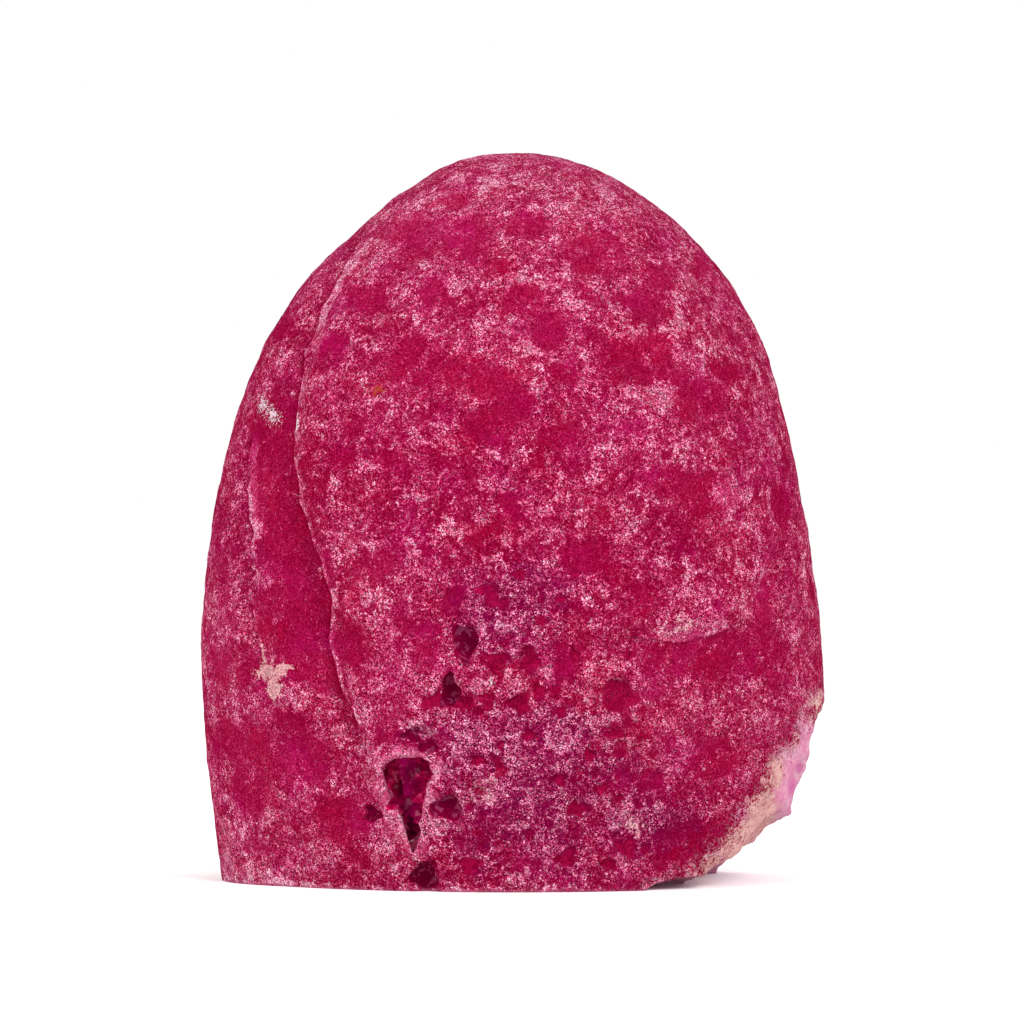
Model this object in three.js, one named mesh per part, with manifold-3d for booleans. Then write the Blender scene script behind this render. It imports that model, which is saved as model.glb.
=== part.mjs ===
// A dyed agate nodule that stands on a sawn base: one piece of stone, in millimetres. +Z is up and the base
// is at z = 0. The domed, dimpled rind faces -Y, and the sawn and polished face is at +Y. The origin is the
// middle of the stone's footprint box, on the base.

import * as THREE from 'three';
import { mergeVertices } from 'three/addons/utils/BufferGeometryUtils.js';
import { ImprovedNoise } from 'three/addons/math/ImprovedNoise.js';
import Module from 'manifold-3d';

const wasm = await Module();
wasm.setup();

// ---- Driving dimensions ----

const HEIGHT = 120;
const SAW_WASTE = 7; // how far the nodule is modelled below the saw cut of the base

// Plan sections from the crown down: height, reach to the left, to the right, to the front and to the back,
// and how full the front is, from 1.6 (keeled) to 2.2 (full).
const SECTIONS = [
  { z: 120, left: 0, right: 0, front: 0, back: 0, full: 2.1 },
  { z: 118.5, left: 9.9, right: 10.9, front: 9, back: 7, full: 2.1 },
  { z: 114, left: 17.7, right: 19.8, front: 17.5, back: 15, full: 2.1 },
  { z: 108, left: 25.1, right: 27.5, front: 24, back: 22, full: 2.1 },
  { z: 99, left: 34.2, right: 35.2, front: 30.5, back: 28, full: 2.05 },
  { z: 88, left: 41, right: 41.2, front: 35.5, back: 31, full: 2.05 },
  { z: 75, left: 46, right: 45, front: 38.5, back: 33, full: 2.05 },
  { z: 62, left: 49, right: 47.8, front: 40, back: 34, full: 2 },
  { z: 46, left: 51.2, right: 50.1, front: 39.5, back: 34, full: 1.95 },
  { z: 30, left: 51.5, right: 51.2, front: 37.5, back: 33, full: 1.85 },
  { z: 12, left: 49.6, right: 51, front: 33.5, back: 31, full: 1.75 },
  { z: 0, left: 48.2, right: 50, front: 30.5, back: 29, full: 1.7 },
  { z: -SAW_WASTE, left: 47, right: 49, front: 28.5, back: 27, full: 1.7 },
];
const BACK_FULL = 2.2;
const CROWN_BACK = 2; // the crown stands this far behind the middle of the base

// The polished face is sawn through the back of the nodule and leans back, so its top is nearer the front.
const FACE_Y = 21;
const FACE_LEAN = THREE.MathUtils.degToRad(4);

// How fine the rind is: columns round the stone, closer together on the front, and rows from crown to base.
const COLUMNS = 84;
const ROWS = 54;
const FRONT_CROWDING = 0.5;

// Slow swellings of the rind: the distance over which they repeat, and their height.
const SWELLS = [
  { length: 34, height: 0.9 },
  { length: 13, height: 0.55 },
];
const SWELL_START = 5; // where in the noise the base is, chosen by eye

// The outline of the front is the sections' own: what share of the relief is left where the rind faces
// sideways, and how far it has to turn to the front or the back before it has all of it.
const SWELL_LEFT_AT_OUTLINE = 0.35;
const DRAWN_LEFT_AT_OUTLINE = 0.25;
const FULL_RELIEF_TURN = 0.5;

// Round dents in the front of the rind: where, how wide and how deep.
const DENTS = [
  { x: 13, z: 102, radius: 6, depth: 1.1 },
  { x: -16, z: 105, radius: 5, depth: 0.8 },
  { x: -7.7, z: 104.7, radius: 4.5, depth: 0.8 },
  { x: 2.4, z: 106.5, radius: 3.5, depth: 0.5 },
  { x: -22.4, z: 94.9, radius: 4.5, depth: 0.8 },
  { x: 20.5, z: 93.8, radius: 4, depth: 0.7 },
  { x: 5.9, z: 89.8, radius: 4.5, depth: 0.9 },
  { x: -15.4, z: 84.9, radius: 5.5, depth: 1.1 },
  { x: 22.2, z: 85.3, radius: 5.5, depth: 1 },
  { x: -3, z: 81.1, radius: 4.5, depth: 0.9 },
  { x: 29.9, z: 78.9, radius: 5, depth: 0.9 },
  { x: -3.6, z: 74.3, radius: 5, depth: 0.9 },
  { x: 7.3, z: 72.6, radius: 4.5, depth: 0.8 },
  { x: 30.7, z: 63.4, radius: 6, depth: 1 },
  { x: 43.4, z: 62, radius: 4, depth: 0.7 },
  { x: -0.8, z: 60.9, radius: 4, depth: 0.6 },
  { x: -26.1, z: 39.4, radius: 4, depth: 0.8 },
  { x: 31, z: 38.2, radius: 6, depth: 1 },
  { x: 38, z: 37.5, radius: 7, depth: 1.3 },
  { x: -44.1, z: 23.4, radius: 5.5, depth: 0.9 },
  { x: -34.2, z: 20.9, radius: 6, depth: 0.8 },
  { x: 20.3, z: 18, radius: 4.5, depth: 0.7 },
  { x: -27.7, z: 11.3, radius: 5.5, depth: 0.7 },
  { x: 28, z: 7.7, radius: 6, depth: 0.9 },
];

// The left flank has come away in two flakes. Each ledge is a line down the front, from its top to its
// foot. The rind to its left is lower by depth, and comes back to the full height over the flake's width.
const LEDGES = [
  {
    line: [
      [-25.7, 103.7], [-29.1, 97.1], [-32.1, 89.4], [-33.9, 82.8], [-35.1, 72], [-34.4, 65.7],
      [-33, 59.1], [-30.7, 52.7], [-29, 46], [-28.6, 38], [-25.8, 29.6], [-24, 24],
    ],
    depth: 1.7,
    width: 11,
  },
  {
    line: [[-42.7, 72.4], [-42.8, 62.5], [-42.1, 53.6], [-41.6, 45], [-39.8, 36.5]],
    depth: 1.1,
    width: 6,
  },
];
const LEDGE_SHARPNESS = 0.9;
const LEDGE_FADE = 9;

// Above this line, which runs across the right of the front, the rind is proud of what lies below.
const BROW = {
  line: [[17, 42.5], [22.6, 40.4], [28.2, 40], [33.1, 41.2], [37.4, 43.5], [38.8, 48.2], [41.1, 53]],
  height: 1.2,
  softness: 1.6,
  reach: 16,
};

// Small hollows where the rind has weathered out: place, half-width, half-height, depth and tilt in
// degrees.
const HOLLOWS = [
  { x: -7.4, z: 40.4, halfWidth: 1.4, halfHeight: 2.6, depth: 1.8, tilt: 25 },
  { x: -10, z: 32.3, halfWidth: 1.3, halfHeight: 2.8, depth: 1.9, tilt: -3 },
  { x: 1.9, z: 37.9, halfWidth: 1.4, halfHeight: 1.6, depth: 1.2, tilt: -30 },
  { x: 0.2, z: 30.5, halfWidth: 1.4, halfHeight: 1.3, depth: 1.1, tilt: 0 },
  { x: -2.4, z: 36, halfWidth: 1.5, halfHeight: 1.3, depth: 1, tilt: 10 },
  { x: -7.9, z: 30.4, halfWidth: 1.1, halfHeight: 1.1, depth: 0.9, tilt: 0 },
  { x: 16.7, z: 31.6, halfWidth: 2.5, halfHeight: 3, depth: 1.5, tilt: 8 },
  { x: -10.8, z: 14.2, halfWidth: 2.7, halfHeight: 1.6, depth: 1.5, tilt: 8 },
  { x: -22.2, z: 12.9, halfWidth: 1.2, halfHeight: 1.4, depth: 1.2, tilt: -20 },
  { x: -14.7, z: 25.6, halfWidth: 2.2, halfHeight: 1.3, depth: 1.2, tilt: -25 },
  { x: -14.2, z: 1.8, halfWidth: 2.4, halfHeight: 3.2, depth: 2.2, tilt: 5 },
  { x: 39.4, z: 14.3, halfWidth: 1.4, halfHeight: 0.9, depth: 0.9, tilt: 25 },
];

// The open hollow low on the front: its mouth, seen from the front, and the smaller, shifted floor behind
// it.
const VUG_MOUTH = [
  [-21.4, 20.1], [-18.9, 21.7], [-14.6, 21.9], [-13.2, 19.9], [-12.7, 18.8], [-13.7, 16.9],
  [-14.6, 12.5], [-15, 9], [-16, 6.1], [-16.7, 7.8], [-18, 12], [-19.6, 13.8], [-20.7, 17.2],
];
const VUG_DEPTH = 6;
const VUG_FLOOR_SIZE = 0.5;
const VUG_FLOOR_SHIFT = { x: -1.2, z: 1.6 };
const VUG_LEAD = 3; // the cutter starts this far in front of the rind
const VUG_RINGS = 3;
const VUG_CRAG = { length: 1.4, height: 1.1 };
const VUG_EAR = { x: -19, z: 14.3, halfWidth: 2, halfHeight: 0.9, depth: 1.6, tilt: 5 };

// Flake scars where the lower right corner has broken off: the deepest point of each, the way it faces, the
// radius of its hollow across, and how much further it runs from front to back. The first seven make the
// broken corner's outline, and the last four bevel it towards the front.
const SCARS = [
  { at: [48.1, 1, 24.2], facing: [0.95, -0.05, -0.3], radius: 13, stretch: 2 },
  { at: [45.1, -5, 16.6], facing: [0.93, -0.14, -0.34], radius: 13, stretch: 1.8 },
  { at: [44.6, 12, 15], facing: [0.92, 0.18, -0.34], radius: 15, stretch: 1.7 },
  { at: [39.3, -7, 9.4], facing: [0.7, -0.1, -0.7], radius: 16, stretch: 1.8 },
  { at: [39.2, 12, 8], facing: [0.72, 0.14, -0.68], radius: 20, stretch: 1.7 },
  { at: [33, -6, 4.2], facing: [0.44, 0, -0.9], radius: 20, stretch: 2 },
  { at: [26, -14, 1], facing: [0.18, -0.15, -0.97], radius: 25, stretch: 1.7 },
  { at: [48.1, -10.5, 25.4], facing: [0.86, -0.47, -0.2], radius: 16, stretch: 1.6 },
  { at: [44.6, -13, 18.6], facing: [0.8, -0.56, -0.2], radius: 15, stretch: 1.6 },
  { at: [39.8, -16, 11.5], facing: [0.7, -0.58, -0.41], radius: 16, stretch: 1.6 },
  { at: [34.6, -18, 6], facing: [0.66, -0.48, -0.58], radius: 18, stretch: 1.6 },
];
const SCAR_ROUGHNESS = 1;

const ROSE = 0xb01a56;

// ---- Solids ----

function solidOf(geometry) {
  const bare = geometry.clone();
  bare.deleteAttribute('normal');
  bare.deleteAttribute('uv');
  const merged = mergeVertices(bare, 1e-4);
  const triVerts = merged.index
    ? new Uint32Array(merged.index.array)
    : Uint32Array.from({ length: merged.attributes.position.count }, (_, i) => i);
  return new wasm.Manifold(
    new wasm.Mesh({ numProp: 3, vertProperties: merged.attributes.position.array, triVerts })
  );
}

function geometryOf(solid) {
  const mesh = solid.getMesh();
  const geometry = new THREE.BufferGeometry();
  geometry.setAttribute('position', new THREE.BufferAttribute(mesh.vertProperties, 3));
  geometry.setIndex(new THREE.BufferAttribute(mesh.triVerts, 1));
  return geometry;
}

// ---- The rind, as a smooth form and then its relief ----

const noise = new ImprovedNoise();

// A curve through one measure of the sections. Rows are spaced by the root of the depth below the crown, so
// that the crown comes out round.
function sectionCurve(measure) {
  return new THREE.SplineCurve(
    SECTIONS.map((s) => new THREE.Vector2(Math.sign(HEIGHT - s.z) * Math.sqrt(1 - s.z / HEIGHT), measure(s)))
  );
}

const curves = {
  left: sectionCurve((s) => s.left),
  right: sectionCurve((s) => s.right),
  front: sectionCurve((s) => s.front),
  back: sectionCurve((s) => s.back),
  full: sectionCurve((s) => s.full),
};

// The smooth nodule's point at an angle round it and a share of the way from crown to foot.
function nodulePoint(angle, down) {
  const root = curves.left.getPoint(down).x;
  const reach = (name) => curves[name].getPoint(down).y;
  const across = Math.cos(angle);
  const along = Math.sin(angle);
  const power = 2 / (along < 0 ? reach('full') : BACK_FULL);
  const z = HEIGHT * (1 - root * root);
  return new THREE.Vector3(
    Math.sign(across) * Math.abs(across) ** power * reach(across < 0 ? 'left' : 'right'),
    Math.sign(along) * Math.abs(along) ** power * reach(along < 0 ? 'front' : 'back') +
      CROWN_BACK * (z / HEIGHT) ** 2,
    z
  );
}

function swell(p) {
  return SWELLS.reduce(
    (sum, s) => sum + s.height * noise.noise(p.x / s.length, p.y / s.length, p.z / s.length + SWELL_START),
    0
  );
}

function dent(p) {
  return DENTS.reduce((sum, d) => {
    const reach = Math.hypot(p.x - d.x, p.z - d.z) / d.radius;
    return sum - d.depth * Math.exp(-2 * reach * reach);
  }, 0);
}

// Where a hand-drawn line stands at a coordinate, and how far past its ends that coordinate is.
function lineAt(line, from, to, value) {
  const clamped = THREE.MathUtils.clamp(value, Math.min(line[0][from], line.at(-1)[from]),
    Math.max(line[0][from], line.at(-1)[from]));
  for (let i = 1; i < line.length; i++) {
    const share = (clamped - line[i - 1][from]) / (line[i][from] - line[i - 1][from]);
    if (share >= 0 && share <= 1) {
      const across = THREE.MathUtils.lerp(line[i - 1][to], line[i][to], share);
      return { across, past: Math.abs(value - clamped) };
    }
  }
  return { across: line[0][to], past: Math.abs(value - clamped) };
}

function ledge(p) {
  return LEDGES.reduce((sum, l) => {
    const { across, past } = lineAt(l.line, 1, 0, p.z);
    const toLeft = across - p.x;
    const step = THREE.MathUtils.smoothstep(toLeft, -LEDGE_SHARPNESS, LEDGE_SHARPNESS);
    const recovery = 1 - THREE.MathUtils.smoothstep(toLeft, 0, l.width);
    return sum - l.depth * step * recovery * Math.exp(-((past / LEDGE_FADE) ** 2));
  }, 0);
}

function brow(p) {
  const { across, past } = lineAt(BROW.line, 0, 1, p.x);
  const above = p.z - across;
  const step = THREE.MathUtils.smoothstep(above, -BROW.softness, BROW.softness);
  const recovery = 1 - THREE.MathUtils.smoothstep(above, 0, BROW.reach);
  return BROW.height * step * recovery * Math.exp(-((past / LEDGE_FADE) ** 2));
}

// How far the rind stands out from the smooth nodule. The drawn features are on the front alone, and
// everything fades towards the outline that the sections give.
function relief(p, outward) {
  const turned = THREE.MathUtils.smoothstep(Math.abs(outward.y), 0, FULL_RELIEF_TURN);
  const drawn = p.y < 0 ? dent(p) + ledge(p) + brow(p) : 0;
  return (
    swell(p) * THREE.MathUtils.lerp(SWELL_LEFT_AT_OUTLINE, 1, turned) +
    drawn * THREE.MathUtils.lerp(DRAWN_LEFT_AT_OUTLINE, 1, turned)
  );
}

function makeRind() {
  const geometry = new THREE.SphereGeometry(1, COLUMNS, ROWS);
  const { position, uv } = geometry.attributes;
  for (let i = 0; i < position.count; i++) {
    const turn = Math.PI * 2 * uv.getX(i);
    const angle = turn - FRONT_CROWDING * Math.cos(turn);
    const down = 1 - uv.getY(i);
    const foot = new THREE.Vector3(0, 0, -SAW_WASTE);
    const p = down > 1 - 0.5 / ROWS ? foot : nodulePoint(angle, down * (ROWS / (ROWS - 1)));
    position.setXYZ(i, p.x, p.y, p.z);
  }
  geometry.deleteAttribute('normal');
  geometry.deleteAttribute('uv');
  const rind = mergeVertices(geometry, 1e-3);
  rind.computeVertexNormals();
  const p = new THREE.Vector3();
  const outward = new THREE.Vector3();
  const points = rind.attributes.position;
  for (let i = 0; i < points.count; i++) {
    p.fromBufferAttribute(points, i);
    outward.fromBufferAttribute(rind.attributes.normal, i);
    p.addScaledVector(outward, relief(p, outward));
    points.setXYZ(i, p.x, p.y, p.z);
  }
  return rind;
}

// ---- What is cut out of it ----

function makeSawCut(normal, point) {
  const size = 4 * HEIGHT;
  const block = new THREE.BoxGeometry(size, size, size).translate(0, 0, size / 2);
  block.applyQuaternion(new THREE.Quaternion().setFromUnitVectors(new THREE.Vector3(0, 0, 1), normal));
  return block.translate(point.x, point.y, point.z);
}

// The point of the rind that is seen from the front at x and z.
function frontOf(rindMesh, x, z) {
  const ray = new THREE.Raycaster(new THREE.Vector3(x, -3 * HEIGHT, z), new THREE.Vector3(0, 1, 0));
  return ray.intersectObject(rindMesh)[0].point;
}

function makeHollow(rindMesh, hollow) {
  const blob = new THREE.IcosahedronGeometry(1, 1);
  blob.scale(hollow.halfWidth, hollow.depth, hollow.halfHeight);
  blob.rotateY(THREE.MathUtils.degToRad(-hollow.tilt));
  const { x, y, z } = frontOf(rindMesh, hollow.x, Math.max(hollow.z, 1));
  return blob.translate(x, y, z + Math.min(0, hollow.z - 1));
}

// A funnel with flat, crystal-like walls from the mouth to a smaller floor, which is pulled back in its
// middle.
function makeVug(rindMesh) {
  const mouth = new THREE.Shape(VUG_MOUTH.map(([x, z]) => new THREE.Vector2(x, z)));
  const middle = VUG_MOUTH.reduce((sum, [x, z]) => sum.add(new THREE.Vector2(x, z)), new THREE.Vector2());
  middle.divideScalar(VUG_MOUTH.length);
  const lip = frontOf(rindMesh, middle.x, middle.y).y;
  const funnel = new THREE.ExtrudeGeometry(mouth, {
    depth: VUG_DEPTH + VUG_LEAD,
    steps: VUG_RINGS,
    bevelEnabled: false,
  });
  const { position } = funnel.attributes;
  for (let i = 0; i < position.count; i++) {
    const inward = Math.max(0, position.getZ(i) - VUG_LEAD) / VUG_DEPTH;
    const shrink = 1 - (1 - VUG_FLOOR_SIZE) * inward * inward;
    const x = middle.x + (position.getX(i) - middle.x) * shrink + VUG_FLOOR_SHIFT.x * inward;
    const z = middle.y + (position.getY(i) - middle.y) * shrink + VUG_FLOOR_SHIFT.z * inward;
    const crag = VUG_CRAG.height * noise.noise(x / VUG_CRAG.length, z / VUG_CRAG.length, 0) * inward;
    position.setXYZ(i, x, lip - VUG_LEAD + position.getZ(i) + crag, z);
  }
  // Y and Z were exchanged above, which turns the faces inside out, so each face is turned back.
  for (let i = 0; i < position.count; i += 3) {
    const swap = [position.getX(i + 1), position.getY(i + 1), position.getZ(i + 1)];
    position.setXYZ(i + 1, position.getX(i + 2), position.getY(i + 2), position.getZ(i + 2));
    position.setXYZ(i + 2, ...swap);
  }
  return funnel;
}

// A rough egg that lies outside the stone and touches it at the scar's deepest point.
function makeScar(scar) {
  const bite = new THREE.IcosahedronGeometry(1, 9);
  const { position } = bite.attributes;
  const p = new THREE.Vector3();
  for (let i = 0; i < position.count; i++) {
    p.fromBufferAttribute(position, i);
    const rough = SCAR_ROUGHNESS * noise.noise(p.x * 3 + scar.at[0], p.y * 4, p.z * 3 + scar.at[2]);
    p.multiplyScalar(1 + rough / scar.radius);
    position.setXYZ(i, p.x, p.y, p.z);
  }
  bite.scale(scar.radius, scar.radius * scar.stretch, scar.radius);
  bite.translate(0, 0, scar.radius);
  const facing = new THREE.Vector3(...scar.facing).normalize();
  const along = new THREE.Vector3(0, 1, 0).addScaledVector(facing, -facing.y).normalize();
  const across = along.clone().cross(facing);
  bite.applyMatrix4(new THREE.Matrix4().makeBasis(across, along, facing));
  return bite.translate(...scar.at);
}

function makeAgate() {
  const rind = makeRind();
  const rindMesh = new THREE.Mesh(rind);
  rindMesh.updateMatrixWorld();
  const lean = new THREE.Vector3(0, Math.cos(FACE_LEAN), Math.sin(FACE_LEAN));
  const cuts = [
    makeSawCut(new THREE.Vector3(0, 0, -1), new THREE.Vector3()),
    makeSawCut(lean, new THREE.Vector3(0, FACE_Y, 0)),
    ...SCARS.map(makeScar),
    makeVug(rindMesh),
    makeHollow(rindMesh, VUG_EAR),
    ...HOLLOWS.map((hollow) => makeHollow(rindMesh, hollow)),
  ];
  const stone = cuts.reduce((solid, cut) => solid.subtract(solidOf(cut)), solidOf(rind));
  const geometry = geometryOf(stone);
  geometry.computeBoundingBox();
  const middle = geometry.boundingBox.getCenter(new THREE.Vector3());
  geometry.translate(-middle.x, -middle.y, 0);
  geometry.computeVertexNormals();
  return geometry;
}

const agate = new THREE.Mesh(
  makeAgate(),
  new THREE.MeshStandardMaterial({ color: ROSE, roughness: 0.7, metalness: 0 })
);
agate.name = 'agate';

const specimen = new THREE.Group();
specimen.add(agate);

export default specimen;
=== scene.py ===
import math

import bmesh
import bpy
import numpy as np
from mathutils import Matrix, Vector, kdtree, noise


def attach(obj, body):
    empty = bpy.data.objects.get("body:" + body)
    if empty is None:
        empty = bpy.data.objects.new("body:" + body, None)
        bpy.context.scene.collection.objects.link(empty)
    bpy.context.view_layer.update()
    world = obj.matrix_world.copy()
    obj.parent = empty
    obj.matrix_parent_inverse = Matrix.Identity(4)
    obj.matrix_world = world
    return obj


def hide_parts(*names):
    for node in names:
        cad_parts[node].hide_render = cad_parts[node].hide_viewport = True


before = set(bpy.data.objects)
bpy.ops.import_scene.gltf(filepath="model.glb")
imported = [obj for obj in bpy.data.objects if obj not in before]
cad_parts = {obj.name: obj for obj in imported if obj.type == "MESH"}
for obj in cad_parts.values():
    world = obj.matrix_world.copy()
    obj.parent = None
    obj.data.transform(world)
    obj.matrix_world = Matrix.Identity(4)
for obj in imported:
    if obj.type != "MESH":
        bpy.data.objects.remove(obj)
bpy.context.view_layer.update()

# ---- The stone's body ----
# One nodule of agate, sawn across its foot so that it stands, and again across its back. The solid is
# re-meshed into small even faces, the rind is eased as weather eases it, and both saw cuts stay flat.

MM = 0.001
GRAIN = 0.46 * MM
SAWN_WITHIN = 0.3  # mm from a saw cut's plane
FACE_LEAN = math.radians(4)
FACE_AT_BASE = 30.12  # mm behind the origin
RIND_EASING = 6
CUT_FACES_KEPT = 0.14
ON_CUT = 0.01  # mm from a saw cut's plane, once it is flat

stone = bpy.data.objects.new("agate_stone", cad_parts["agate"].data.copy())
bpy.context.scene.collection.objects.link(stone)
bpy.ops.object.select_all(action="DESELECT")
stone.select_set(True)
bpy.context.view_layer.objects.active = stone
bpy.ops.object.mode_set(mode="EDIT")
bpy.ops.mesh.select_all(action="SELECT")
bpy.ops.mesh.remove_doubles(threshold=0.001 * MM)
bpy.ops.object.mode_set(mode="OBJECT")
remesh = stone.modifiers.new("even faces", "REMESH")
remesh.mode = "VOXEL"
remesh.voxel_size = GRAIN
remesh.use_smooth_shade = True
bpy.ops.object.modifier_apply(modifier=remesh.name)


def smoothstep(value, low, high):
    share = np.clip((value - low) / (high - low), 0, 1)
    return share * share * (3 - 2 * share)


def read_mm(what="co"):
    """The stone's vertices in mm, or their normals."""
    values = np.empty(len(stone.data.vertices) * 3)
    stone.data.vertices.foreach_get(what, values)
    return values.reshape(-1, 3) / (MM if what == "co" else 1)


def write_mm(points):
    stone.data.vertices.foreach_set("co", (points * MM).ravel())
    stone.data.update()


def past_face(points):
    """How far each point lies behind the polished face, in mm."""
    return (points[:, 1] - FACE_AT_BASE) * math.cos(FACE_LEAN) + points[:, 2] * math.sin(FACE_LEAN)


def flatten_cuts(points):
    """Points on a saw cut are put exactly in its plane, and none is left outside it."""
    past = past_face(points)
    shift = np.where(past > -SAWN_WITHIN, past, 0)[:, None]
    points = points - shift * [0, math.cos(FACE_LEAN), math.sin(FACE_LEAN)]
    points[:, 2] = np.where(points[:, 2] < SAWN_WITHIN, 0, points[:, 2])
    return points


def group(name, weights):
    made = stone.vertex_groups.new(name=name)
    for index in np.nonzero(weights > 0)[0]:
        made.add([int(index)], float(weights[index]), "REPLACE")
    return made.name


def inner_cut(points):
    """1 well inside a saw cut, 0 elsewhere."""
    on_cut = (past_face(points) > -ON_CUT) | (points[:, 2] < ON_CUT)
    edges = np.empty(len(stone.data.edges) * 2, int)
    stone.data.edges.foreach_get("vertices", edges)
    first, second = edges.reshape(-1, 2).T
    for _ in range(2):
        touched = np.ones(len(points), bool)
        touched[first[~on_cut[second]]] = False
        touched[second[~on_cut[first]]] = False
        on_cut = on_cut & touched
    return on_cut * 1.0


points = flatten_cuts(read_mm())
write_mm(points)
thin = stone.modifiers.new("fewer faces on the cuts", "DECIMATE")
thin.ratio = 1 - (1 - CUT_FACES_KEPT) * inner_cut(points).mean()
thin.vertex_group = group("cuts", inner_cut(points))
bpy.ops.object.modifier_apply(modifier=thin.name)

points = flatten_cuts(read_mm())
write_mm(points)
rind_easing = stone.modifiers.new("weathered rind", "SMOOTH")
rind_easing.vertex_group = group("rind", ((past_face(points) < -ON_CUT) & (points[:, 2] > ON_CUT)) * 1.0)
rind_easing.factor = 0.5
rind_easing.iterations = RIND_EASING
bpy.ops.object.modifier_apply(modifier=rind_easing.name)

# ---- Places on the stone ----
# The features that follow are carved one by one, so their outlines are given here in mm, as x and z on the
# front: the vug's mouth, the ledges where flakes have come away, and the scars of the broken corner.

VUG_MOUTH = [
    (-21.2, 20.1), (-18.7, 21.7), (-17, 21.5), (-14.4, 21.9), (-13.2, 21.1), (-13, 19.7), (-12.4, 19.1),
    (-12.8, 18.2), (-13.5, 17.4), (-13.7, 15.9), (-14.3, 13.9), (-14.5, 12.1), (-15, 11), (-14.6, 10),
    (-15, 8.2), (-15.8, 6.1), (-16.3, 6.8), (-17.1, 9.8), (-17.8, 12), (-18.5, 13.2), (-20.2, 13),
    (-20.4, 13.9), (-19.2, 15.2), (-20.2, 16.8), (-20.8, 18.9),
]
# Lines down or across the front.
LEFT_LEDGE = [
    (-25.7, 103.7), (-27.6, 100.6), (-29.1, 97.1), (-31.2, 93.6), (-32.1, 89.4), (-33.8, 86.3), (-33.9, 82.8),
    (-34.6, 78.9), (-35, 74.5), (-35.1, 69.4), (-34.4, 65.7), (-34.2, 62.5), (-33, 59.1), (-32.1, 55.9),
    (-30.7, 52.7), (-30.3, 49.7), (-29, 47.2), (-29, 43.8), (-29.4, 39.9), (-28.4, 36.4), (-27.4, 32.8),
    (-25.8, 29.6), (-24.8, 26.9),
]
OUTER_LEDGE = [
    (-42.7, 72.4), (-43, 70.1), (-42.7, 66.7), (-42.8, 62.5), (-42.6, 59.7), (-41.7, 57.5), (-42.4, 55.5),
    (-41.9, 53.6), (-41.2, 49.3), (-42.1, 44.9), (-41.1, 40.1), (-39.8, 36.5),
]
BROW = [(20.5, 40.6), (25, 39.9), (28.2, 40), (33.1, 41.2), (37.4, 43.5), (39.4, 48.2), (41.1, 53)]
UPPER_VEIN = [(20, 70.5), (24.8, 72.3), (30.5, 75.1), (35.6, 77.3)]
# The edge where the broken corner begins.
BROKEN_EDGE = [
    (50.8, 32.3), (46.7, 27.7), (45.8, 24.5), (42.4, 20.6), (40.8, 15.8), (37.4, 13.5), (35.8, 11.1),
    (33.3, 7.9), (30.1, 3.9), (23.9, -1),
]
FAR = 99.0  # mm, more than any distance on the stone
FINE_WITHIN = 0.7  # mm from a ledge or a hollow's edge
FRONT_DEPTH = 4  # mm behind the origin, the furthest that those edges reach


def beside_line(points, line, closed=False):
    """The distance to a line in x and z, in mm. It is above 0 on one side, or outside a closed line."""
    x, z = points[:, 0], points[:, 2]
    best = np.full(len(points), FAR)
    side = np.ones(len(points))
    inside = np.zeros(len(points), bool)
    for (x0, z0), (x1, z1) in zip(line, line[1:] + line[:1] if closed else line[1:]):
        dx, dz = x1 - x0, z1 - z0
        share = np.clip(((x - x0) * dx + (z - z0) * dz) / (dx * dx + dz * dz), 0, 1)
        gap = np.hypot(x - x0 - share * dx, z - z0 - share * dz)
        side = np.where(gap < best, np.where((x - x0) * dz - (z - z0) * dx < 0, 1, -1), side)
        best = np.minimum(best, gap)
        if closed and dz:
            inside ^= ((z0 > z) != (z1 > z)) & (x < x0 + (z - z0) * dx / dz)
    return best * (np.where(inside, -1, 1) if closed else side)


def ease_between(points, low, high, fade):
    """1 between two heights, in mm, and fading to 0 outside them."""
    return smoothstep(points[:, 2], low - fade, low) * (1 - smoothstep(points[:, 2], high, high + fade))


def spots(points, listed, soft=1.0):
    """1 inside any of the listed ellipses, falling off softly round them."""
    total = np.zeros(len(points))
    for x, z, half_width, half_height, *strength in listed:
        reach = ((points[:, 0] - x) / half_width) ** 2 + ((points[:, 2] - z) / half_height) ** 2
        total = np.maximum(total, (strength or [1])[0] * np.exp(-0.5 * reach / soft))
    return total


points = read_mm()
near = np.minimum(beside_line(points, VUG_MOUTH, closed=True), FAR)
for line in (LEFT_LEDGE, OUTER_LEDGE, BROW, BROKEN_EDGE):
    near = np.minimum(near, np.abs(beside_line(points, line)))
near = (near < FINE_WITHIN) & (points[:, 1] < FRONT_DEPTH)
edit = bmesh.new()
edit.from_mesh(stone.data)
edit.verts.ensure_lookup_table()
finer = [e for e in edit.edges if near[e.verts[0].index] and near[e.verts[1].index]]
bmesh.ops.subdivide_edges(edit, edges=finer, cuts=1, use_grid_fill=True)
edit.to_mesh(stone.data)
edit.free()

points = read_mm()
normals = read_mm("normal")
on_face = past_face(points) > -ON_CUT
on_base = points[:, 2] < ON_CUT
sawn = on_face | on_base
FRONT_REACH = 14  # mm behind the origin
front = smoothstep(-normals[:, 1], -0.1, 0.15) * (points[:, 1] < FRONT_REACH)
WARP_SIZE = 4.2
SMALL_WARP_SIZE = 1.5
noise.seed_set(1)  # The noise is then the same on every run.
warp = np.array([noise.noise_vector(Vector(p)) for p in points / WARP_SIZE])
warp_small = np.array([noise.noise_vector(Vector(p)) for p in points / SMALL_WARP_SIZE + 7])
wavy = points + 0.25 * warp + 0.2 * warp_small
warped = points + 1.5 * warp + 0.6 * warp_small

# ---- The broken corner ----
# The lower right corner has been knocked off. Fresh stone shows in overlapping shell-shaped scars, cream
# where it meets the rind and pink beyond.

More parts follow.
